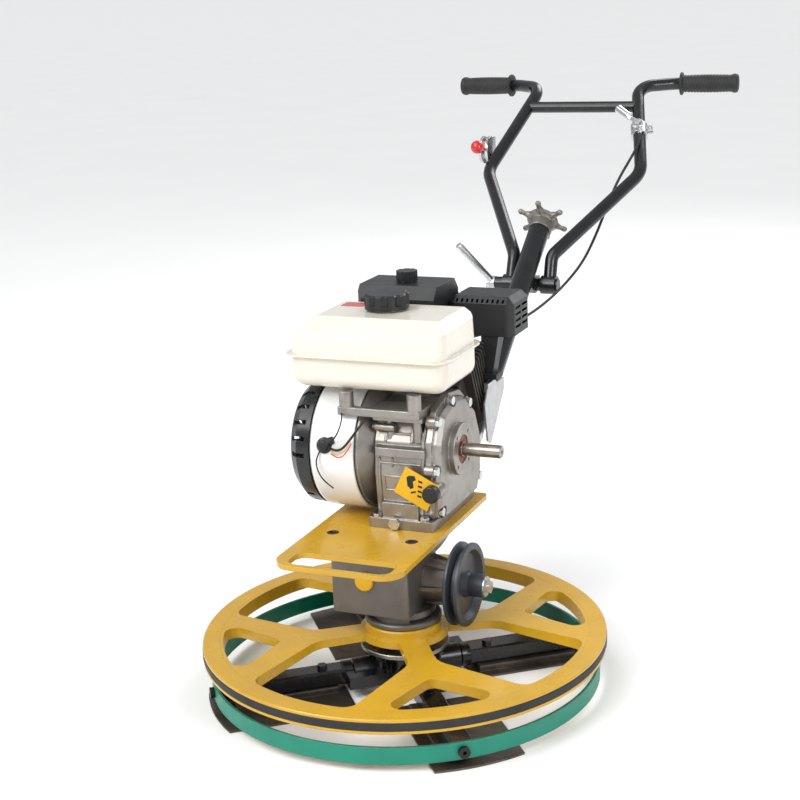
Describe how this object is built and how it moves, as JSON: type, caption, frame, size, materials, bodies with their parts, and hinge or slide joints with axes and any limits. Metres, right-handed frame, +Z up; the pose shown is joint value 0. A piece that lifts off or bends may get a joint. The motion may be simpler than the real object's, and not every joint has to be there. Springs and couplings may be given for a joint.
{
  "type": "power trowel",
  "caption": "Walk-behind concrete power trowel: petrol engine on a worm gearbox turning ringed finishing blades under a spoked guard, with a folding handle and pitch wheel.",
  "frame": {"origin": "on the rotor axis at the floor, under the blades", "axes": "+Z up, +Y towards the operator's grips, +X towards the drive pulley"},
  "size_m": [0.6213, 1.477, 0.8089],
  "materials": {
    "yellow_paint": "golden yellow enamel, slightly glossy",
    "green_paint": "green enamel",
    "black_paint": "gloss black enamel",
    "black_heat_paint": "satin black heat-resistant paint",
    "cream_paint": "cream white enamel",
    "blade_steel": "dark spring steel, lightly oiled",
    "shaft_steel": "turned steel",
    "zinc_steel": "zinc plated",
    "black_steel": "black oxide",
    "cast_box": "sand cast, grey-brown",
    "cast_case": "die cast, bright",
    "pulley_iron": "dark slate, machined groove",
    "wheel_iron": "grey casting",
    "bronze": "bronze gear",
    "seal_rubber": "red-brown seal",
    "black_rubber": "matt black rubber",
    "black_plastic": "moulded black",
    "yellow_plastic": "bright yellow",
    "red_plastic": "red ball knob",
    "chrome": "bright"
  },
  "bodies": {
    "frame": {"gearbox_housing": "cast_box", "gearbox_cover": "cast_box", "bearings": "shaft_steel", "bearing_flange": "cast_box", "yoke_pin": "zinc_steel", "oil_plug": "yellow_plastic", "engine_plate": "yellow_paint", "deck_bolts": "zinc_steel", "crankcase": "cast_case", "crankcase_cover": "cast_case", "case_bolts": "zinc_steel", "shaft_seal": "seal_rubber", "cylinder": "cast_case", "fan_shroud": "cream_paint", "recoil_cover": "black_paint", "fuel_tank": "cream_paint", "air_cleaner": "black_plastic", "muffler": "black_heat_paint", "muffler_cover": "black_heat_paint", "stay_plate": "zinc_steel", "oil_tag": "yellow_plastic", "main_tube": "black_paint"},
    "rotor": {"spider_hub": "black_paint", "stabiliser_ring": "green_paint", "ring_screws": "black_steel", "output_shaft": "shaft_steel", "worm_wheel": "bronze"},
    "pressure_plate": {"wear_plate": "shaft_steel"},
    "sleeve": {"pitch_sleeve": "shaft_steel"},
    "yoke": {"pitch_yoke": "black_steel"},
    "guard": {"guard_wheel": "yellow_paint", "guard_bumper": "black_rubber"},
    "input": {"worm_shaft": "shaft_steel", "input_pulley": "pulley_iron", "pulley_bolt": "zinc_steel"},
    "crank": {"crankshaft": "shaft_steel", "flywheel": "cast_case"},
    "tank_cap": {"fuel_cap": "black_plastic"},
    "cleaner_knob": {"air_cleaner_knob": "black_plastic"},
    "dipstick": {"oil_dipstick": "black_plastic"},
    "rope_grip": {"starter_grip": "black_plastic"},
    "pitch_wheel": {"handwheel": "wheel_iron"},
    "handlebar": {"handlebar_left": "black_paint", "handlebar_right": "black_paint", "handlebar_crossbar": "black_paint", "handle_grips": "black_rubber", "throttle_bracket": "zinc_steel", "clutch_bracket": "zinc_steel", "control_cable": "black_rubber"},
    "clamp": {"clamp_lever": "zinc_steel"},
    "throttle": {"throttle_lever": "red_plastic"},
    "clutch": {"clutch_lever": "chrome"},
    "blade_arm_1": {"arm_1": "black_paint", "blade_1": "blade_steel"},
    "blade_arm_2": {"arm_2": "black_paint", "blade_2": "blade_steel"},
    "blade_arm_3": {"arm_3": "black_paint", "blade_3": "blade_steel"},
    "blade_arm_4": {"arm_4": "black_paint", "blade_4": "blade_steel"}
  },
  "joints": [
    {"name": "rotor_spin", "type": "hinge", "parent": "frame", "child": "rotor", "pos_m": [0, 0, 0.1], "axis": [0, 0, 1], "continuous": true},
    {"name": "blade_tilt_1", "type": "hinge", "parent": "rotor", "child": "blade_arm_1", "pos_m": [0, 0, 0.024], "axis": [-0.6157, 0.788, 0], "range_deg": [0, 11.5]},
    {"name": "blade_tilt_2", "type": "hinge", "parent": "rotor", "child": "blade_arm_2", "pos_m": [0, 0, 0.024], "axis": [-0.788, -0.6157, 0], "range_deg": [0, 11.5]},
    {"name": "blade_tilt_3", "type": "hinge", "parent": "rotor", "child": "blade_arm_3", "pos_m": [0, 0, 0.024], "axis": [0.6157, -0.788, 0], "range_deg": [0, 11.5]},
    {"name": "blade_tilt_4", "type": "hinge", "parent": "rotor", "child": "blade_arm_4", "pos_m": [0, 0, 0.024], "axis": [0.788, 0.6157, 0], "range_deg": [0, 11.5]},
    {"name": "pressure_slide", "type": "slide", "parent": "rotor", "child": "pressure_plate", "axis": [0, 0, -1], "range_m": [0, 0.00685]},
    {"name": "sleeve_slide", "type": "slide", "parent": "frame", "child": "sleeve", "axis": [0, 0, -1], "range_m": [0, 0.00685]},
    {"name": "yoke_tilt", "type": "hinge", "parent": "frame", "child": "yoke", "pos_m": [0, 0.04, 0.115], "axis": [1, 0, 0], "range_deg": [0, 9.87]},
    {"name": "pitch_wheel_turn", "type": "hinge", "parent": "frame", "child": "pitch_wheel", "pos_m": [-0.03, 0.782, 0.558], "axis": [0, 0.8087, 0.5882], "range_deg": [0, 1800]},
    {"name": "guard_spin", "type": "hinge", "parent": "frame", "child": "guard", "pos_m": [0, 0, 0.088], "axis": [0, 0, 1], "continuous": true},
    {"name": "input_spin", "type": "hinge", "parent": "frame", "child": "input", "pos_m": [0, 0.03, 0.15], "axis": [1, 0, 0], "continuous": true},
    {"name": "crank_spin", "type": "hinge", "parent": "frame", "child": "crank", "pos_m": [0, 0.132, 0.325], "axis": [1, 0, 0], "continuous": true},
    {"name": "cap_turn", "type": "hinge", "parent": "frame", "child": "tank_cap", "pos_m": [-0.068, 0.142, 0.54], "axis": [0, 0, 1], "range_deg": [0, 90]},
    {"name": "cleaner_knob_turn", "type": "hinge", "parent": "frame", "child": "cleaner_knob", "pos_m": [-0.092, 0.28, 0.555], "axis": [0, 0, 1], "range_deg": [0, 720]},
    {"name": "dipstick_turn", "type": "hinge", "parent": "frame", "child": "dipstick", "pos_m": [0.036, 0.04, 0.282], "axis": [0, -1, 0], "range_deg": [0, 720]},
    {"name": "rope_pull", "type": "slide", "parent": "frame", "child": "rope_grip", "axis": [0, 0.788, 0.6157], "range_m": [0, 0.5], "stiffness_N_per_m": 20, "springref_m": -0.02},
    {"name": "handlebar_fold", "type": "hinge", "parent": "frame", "child": "handlebar", "pos_m": [-0.03, 0.712, 0.46], "axis": [1, 0, 0], "range_deg": [0, 110], "deforming": ["control_cable"]},
    {"name": "clamp_turn", "type": "hinge", "parent": "frame", "child": "clamp", "pos_m": [-0.104, 0.712, 0.46], "axis": [1, 0, 0], "range_deg": [0, 90]},
    {"name": "throttle_swing", "type": "hinge", "parent": "handlebar", "child": "throttle", "pos_m": [-0.195, 0.956, 0.676], "axis": [1, 0, 0], "range_deg": [-30, 30]},
    {"name": "clutch_pull", "type": "hinge", "parent": "handlebar", "child": "clutch", "pos_m": [0.0982, 1.01, 0.707], "axis": [0, -0.6259, 0.7799], "range_deg": [-25, 0], "stiffness_Nm_per_rad": 0.5, "springref_deg": 17.19}
  ],
  "couplings": [
    {"joint": "blade_tilt_1", "follows": "pitch_wheel_turn", "ratio": 0.00638},
    {"joint": "blade_tilt_2", "follows": "pitch_wheel_turn", "ratio": 0.00638},
    {"joint": "blade_tilt_3", "follows": "pitch_wheel_turn", "ratio": 0.00638},
    {"joint": "blade_tilt_4", "follows": "pitch_wheel_turn", "ratio": 0.00638},
    {"joint": "yoke_tilt", "follows": "pitch_wheel_turn", "ratio": 0.00548},
    {"joint": "pressure_slide", "follows": "pitch_wheel_turn", "m_per_rad": 0.000218},
    {"joint": "sleeve_slide", "follows": "pitch_wheel_turn", "m_per_rad": 0.000218},
    {"joint": "input_spin", "follows": "rotor_spin", "ratio": 20}
  ]
}
